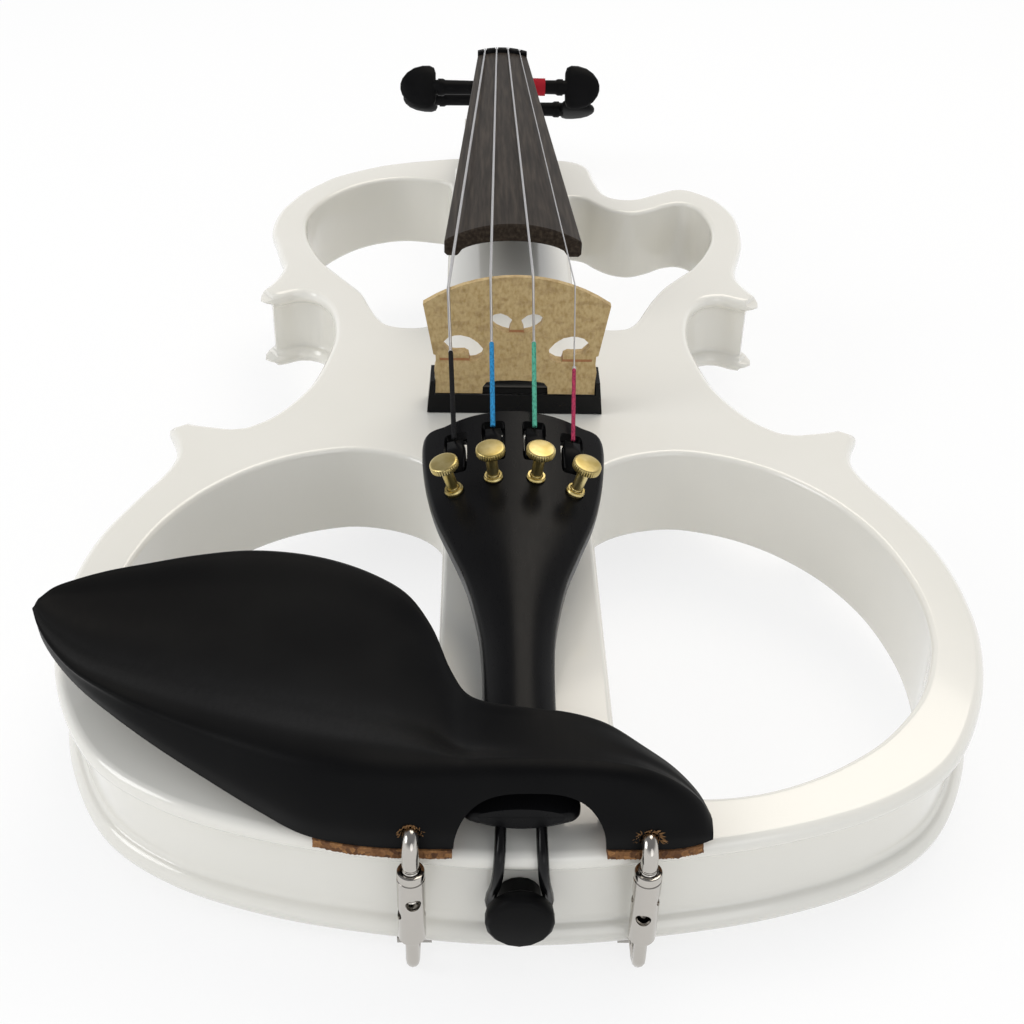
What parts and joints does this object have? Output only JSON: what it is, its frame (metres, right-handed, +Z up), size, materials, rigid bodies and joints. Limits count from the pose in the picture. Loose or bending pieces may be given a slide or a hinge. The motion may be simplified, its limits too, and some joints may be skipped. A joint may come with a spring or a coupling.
{
  "type": "electric violin",
  "caption": "Solid-body electric violin with open bouts, bridge pickup, tailpiece with fine tuners, clamped chin rest, turning pegs and a control panel in the back.",
  "frame": {"origin": "middle of the bounding box in plan, on the surface that the instrument lies on, back down", "axes": "+X to the right seen from the front with the scroll up, +Y from the tail to the scroll, +Z up from the back to the strings; the body is tilted 4.6 degrees about X because the instrument rests on its chin-rest clamps and its scroll"},
  "size_m": [0.212, 0.5816, 0.0843],
  "materials": {
    "white_lacquer": "gloss white lacquer over wood",
    "black_fingerboard": "satin, stained dark wood",
    "black_fittings": "satin black wood",
    "black_plastic": "moulded, matte",
    "piezo": "plain strip",
    "maple": "bare scraped maple",
    "brass": "turned and polished",
    "cork": "sheet cork",
    "nickel": "bright nickel plate",
    "string_steel": "wound and plain steel",
    "red_silk": "silk thread",
    "dark_housing": "fine moulded texture",
    "battery_can": "printed can, left plain",
    "circuit": "solder mask green"
  },
  "bodies": {
    "body": {"body_frame": "white_lacquer", "neck": "white_lacquer", "fingerboard": "black_fingerboard", "nut": "black_fittings", "pickup_bar": "black_plastic", "piezo_strip": "piezo", "bridge": "maple", "tailpiece": "black_fittings", "tuner_sleeve_g": "brass", "tuner_sleeve_d": "brass", "tuner_sleeve_a": "brass", "tuner_sleeve_e": "brass", "end_button": "black_fittings", "tail_cord": "black_plastic", "chin_rest": "black_fittings", "chin_cork_left": "cork", "chin_cork_right": "cork", "clamp_hook_left": "nickel", "clamp_hook_right": "nickel", "string_g": "string_steel", "string_e": "string_steel", "string_d": "string_steel", "string_a": "string_steel", "preamp_housing": "dark_housing", "battery": "battery_can", "circuit_board": "circuit", "line_out_jack": "nickel", "headphone_jack": "nickel"},
    "peg_g": {"peg_g": "black_fittings"},
    "peg_d": {"peg_d": "black_fittings"},
    "peg_a": {"peg_a": "black_fittings"},
    "peg_e": {"peg_e": "black_fittings", "string_silk_wrap_e": "red_silk"},
    "tuner_screw_g": {"tuner_shank_g": "brass"},
    "tuner_head_g": {"tuner_head_g": "brass"},
    "tuner_lever_g": {"tuner_lever_g": "black_plastic"},
    "tuner_screw_d": {"tuner_shank_d": "brass"},
    "tuner_head_d": {"tuner_head_d": "brass"},
    "tuner_lever_d": {"tuner_lever_d": "black_plastic"},
    "tuner_screw_a": {"tuner_shank_a": "brass"},
    "tuner_head_a": {"tuner_head_a": "brass"},
    "tuner_lever_a": {"tuner_lever_a": "black_plastic"},
    "tuner_screw_e": {"tuner_shank_e": "brass"},
    "tuner_head_e": {"tuner_head_e": "brass"},
    "tuner_lever_e": {"tuner_lever_e": "black_plastic"},
    "clamp_barrel_left": {"clamp_barrel_left": "nickel"},
    "clamp_foot_left": {"clamp_foot_left": "nickel", "clamp_foot_cork_left": "cork"},
    "clamp_barrel_right": {"clamp_barrel_right": "nickel"},
    "clamp_foot_right": {"clamp_foot_right": "nickel", "clamp_foot_cork_right": "cork"},
    "volume_knob": {"volume_knob": "dark_housing"},
    "tone_knob": {"tone_knob": "dark_housing"},
    "power_switch": {"power_switch": "dark_housing"},
    "battery_door": {"battery_door": "dark_housing"}
  },
  "joints": [
    {"name": "peg_g_turn", "type": "hinge", "parent": "body", "child": "peg_g", "pos_m": [0, 0.22007, 0.04986], "axis": [-1, 0, 0], "continuous": true},
    {"name": "peg_d_turn", "type": "hinge", "parent": "body", "child": "peg_d", "pos_m": [0, 0.24744, 0.03775], "axis": [-1, 0, 0], "continuous": true},
    {"name": "peg_a_turn", "type": "hinge", "parent": "body", "child": "peg_a", "pos_m": [0, 0.26044, 0.02975], "axis": [1, 0, 0], "continuous": true},
    {"name": "peg_e_turn", "type": "hinge", "parent": "body", "child": "peg_e", "pos_m": [0, 0.23422, 0.04732], "axis": [1, 0, 0], "continuous": true},
    {"name": "tuner_g_travel", "type": "slide", "parent": "body", "child": "tuner_screw_g", "axis": [-0.285, -0.1805, 0.9414], "range_m": [-0.002, 0.0009]},
    {"name": "tuner_g_turn", "type": "hinge", "parent": "tuner_screw_g", "child": "tuner_head_g", "pos_m": [-0.01787, -0.19376, 0.06363], "axis": [-0.285, -0.1805, 0.9414], "range_deg": [-1660, 760]},
    {"name": "tuner_g_lever", "type": "hinge", "parent": "body", "child": "tuner_lever_g", "pos_m": [-0.01515, -0.18114, 0.05673], "axis": [0.9585, -0.0537, 0.2799], "range_deg": [-4.83, 10.74]},
    {"name": "tuner_d_travel", "type": "slide", "parent": "body", "child": "tuner_screw_d", "axis": [-0.1041, -0.1873, 0.9768], "range_m": [-0.002, 0.0009]},
    {"name": "tuner_d_turn", "type": "hinge", "parent": "tuner_screw_d", "child": "tuner_head_d", "pos_m": [-0.00736, -0.19149, 0.06621], "axis": [-0.1041, -0.1873, 0.9768], "range_deg": [-1660, 760]},
    {"name": "tuner_d_lever", "type": "hinge", "parent": "body", "child": "tuner_lever_d", "pos_m": [-0.00636, -0.1788, 0.05897], "axis": [0.9946, -0.0196, 0.1023], "range_deg": [-4.83, 10.74]},
    {"name": "tuner_a_travel", "type": "slide", "parent": "body", "child": "tuner_screw_a", "axis": [0.1041, -0.1873, 0.9768], "range_m": [-0.002, 0.0009]},
    {"name": "tuner_a_turn", "type": "hinge", "parent": "tuner_screw_a", "child": "tuner_head_a", "pos_m": [0.00415, -0.19149, 0.06621], "axis": [0.1041, -0.1873, 0.9768], "range_deg": [-1660, 760]},
    {"name": "tuner_a_lever", "type": "hinge", "parent": "body", "child": "tuner_lever_a", "pos_m": [0.00316, -0.1788, 0.05897], "axis": [0.9946, 0.0196, -0.1023], "range_deg": [-4.83, 10.74]},
    {"name": "tuner_e_travel", "type": "slide", "parent": "body", "child": "tuner_screw_e", "axis": [0.285, -0.1805, 0.9414], "range_m": [-0.002, 0.0009]},
    {"name": "tuner_e_turn", "type": "hinge", "parent": "tuner_screw_e", "child": "tuner_head_e", "pos_m": [0.01467, -0.19376, 0.06363], "axis": [0.285, -0.1805, 0.9414], "range_deg": [-1660, 760]},
    {"name": "tuner_e_lever", "type": "hinge", "parent": "body", "child": "tuner_lever_e", "pos_m": [0.01195, -0.18114, 0.05673], "axis": [0.9585, 0.0537, -0.2799], "range_deg": [-4.83, 10.74]},
    {"name": "clamp_left_turn", "type": "hinge", "parent": "body", "child": "clamp_barrel_left", "pos_m": [-0.0223, -0.28801, 0.02885], "axis": [0, 0.0809, -0.9967], "range_deg": [-20, 760]},
    {"name": "clamp_left_grip", "type": "slide", "parent": "body", "child": "clamp_foot_left", "axis": [0, 0.0809, -0.9967], "range_m": [0, 0.0028]},
    {"name": "clamp_right_turn", "type": "hinge", "parent": "body", "child": "clamp_barrel_right", "pos_m": [0.0223, -0.28801, 0.02885], "axis": [0, 0.0809, -0.9967], "range_deg": [-20, 760]},
    {"name": "clamp_right_grip", "type": "slide", "parent": "body", "child": "clamp_foot_right", "axis": [0, 0.0809, -0.9967], "range_m": [0, 0.0028]},
    {"name": "volume_knob_turn", "type": "hinge", "parent": "body", "child": "volume_knob", "pos_m": [0.0048, -0.09287, 0.01654], "axis": [0, 0.0809, -0.9967], "range_deg": [-150, 150]},
    {"name": "tone_knob_turn", "type": "hinge", "parent": "body", "child": "tone_knob", "pos_m": [0.0268, -0.09287, 0.01654], "axis": [0, 0.0809, -0.9967], "range_deg": [-150, 150]},
    {"name": "power_switch_slide", "type": "slide", "parent": "body", "child": "power_switch", "axis": [1, 0, 0], "range_m": [0, 0.003]},
    {"name": "battery_door_hinge", "type": "hinge", "parent": "body", "child": "battery_door", "pos_m": [-0.0274, -0.12802, 0.01449], "axis": [-1, 0, 0], "range_deg": [0, 100]}
  ],
  "couplings": [
    {"joint": "tuner_g_turn", "follows": "tuner_g_travel", "rad_per_m": 13963},
    {"joint": "tuner_g_lever", "follows": "tuner_g_travel", "rad_per_m": -90.09},
    {"joint": "tuner_d_turn", "follows": "tuner_d_travel", "rad_per_m": 13963},
    {"joint": "tuner_d_lever", "follows": "tuner_d_travel", "rad_per_m": -90.09},
    {"joint": "tuner_a_turn", "follows": "tuner_a_travel", "rad_per_m": 13963},
    {"joint": "tuner_a_lever", "follows": "tuner_a_travel", "rad_per_m": -90.09},
    {"joint": "tuner_e_turn", "follows": "tuner_e_travel", "rad_per_m": 13963},
    {"joint": "tuner_e_lever", "follows": "tuner_e_travel", "rad_per_m": -90.09},
    {"joint": "clamp_left_turn", "follows": "clamp_left_grip", "rad_per_m": 4488},
    {"joint": "clamp_right_turn", "follows": "clamp_right_grip", "rad_per_m": 4488}
  ]
}
